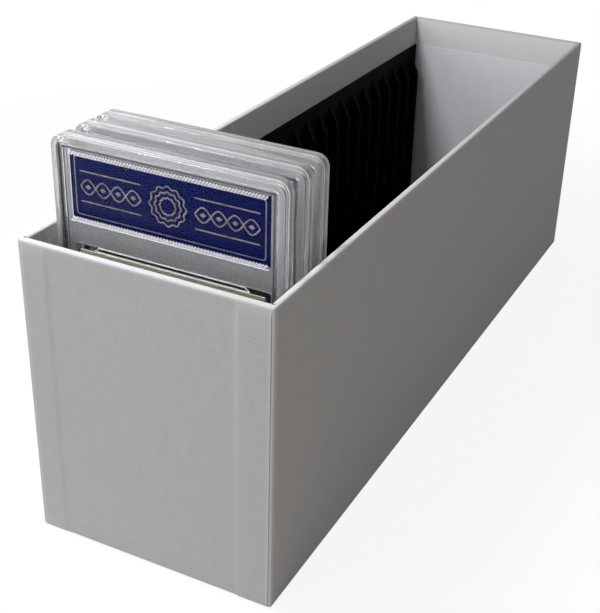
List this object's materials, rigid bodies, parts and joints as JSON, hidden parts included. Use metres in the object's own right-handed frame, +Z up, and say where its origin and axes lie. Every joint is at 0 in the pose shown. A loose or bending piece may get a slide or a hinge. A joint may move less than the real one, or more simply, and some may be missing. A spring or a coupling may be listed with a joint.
{
  "type": "graded card storage box",
  "caption": "Long open-topped paper-wrapped box whose black ribbed side rails hold clear card slabs upright in slots; the slabs lift out.",
  "frame": {"origin": "centre of the box's underside, on the surface it stands on", "axes": "+X across the box to the right, +Y along the box from the front end to the rear, +Z up"},
  "size_m": [0.0904, 0.32, 0.1415],
  "materials": {
    "chipboard": "raw",
    "silver_grey_paper": "embossed satin",
    "grey_lining_paper": "satin",
    "kraft_tape": "matte",
    "black_moulded_plastic": "matte",
    "black_card": "matte",
    "clear_plastic": "clear gloss",
    "label_1": "metallic print",
    "label_2": "print",
    "label_3": "print",
    "card_stock": "print"
  },
  "bodies": {
    "box": {"base_board": "chipboard", "left_side_board": "chipboard", "right_side_board": "chipboard", "front_end_board": "chipboard", "rear_end_board": "chipboard", "left_cover": "silver_grey_paper", "right_cover": "silver_grey_paper", "front_cover": "silver_grey_paper", "rear_cover": "silver_grey_paper", "bottom_sheet": "silver_grey_paper", "front_lining": "grey_lining_paper", "rear_lining": "grey_lining_paper", "corner_stays": "kraft_tape", "left_slot_rail": "black_moulded_plastic", "right_slot_rail": "black_moulded_plastic", "floor_liner": "black_card"},
    "slab_1": {"slab_1_front_shell": "clear_plastic", "slab_1_rear_shell": "clear_plastic", "slab_1_label": "label_1", "slab_1_card": "card_stock"},
    "slab_2": {"slab_2_front_shell": "clear_plastic", "slab_2_rear_shell": "clear_plastic", "slab_2_label": "label_2", "slab_2_card": "card_stock"},
    "slab_3": {"slab_3_front_shell": "clear_plastic", "slab_3_rear_shell": "clear_plastic", "slab_3_label": "label_3", "slab_3_card": "card_stock"}
  },
  "joints": [
    {"name": "slab_1_lift", "type": "slide", "parent": "box", "child": "slab_1", "axis": [0, 0, 1], "range_m": [0, 0.14]},
    {"name": "slab_2_lift", "type": "slide", "parent": "box", "child": "slab_2", "axis": [0, 0, 1], "range_m": [0, 0.14]},
    {"name": "slab_3_lift", "type": "slide", "parent": "box", "child": "slab_3", "axis": [0, 0, 1], "range_m": [0, 0.14]}
  ]
}
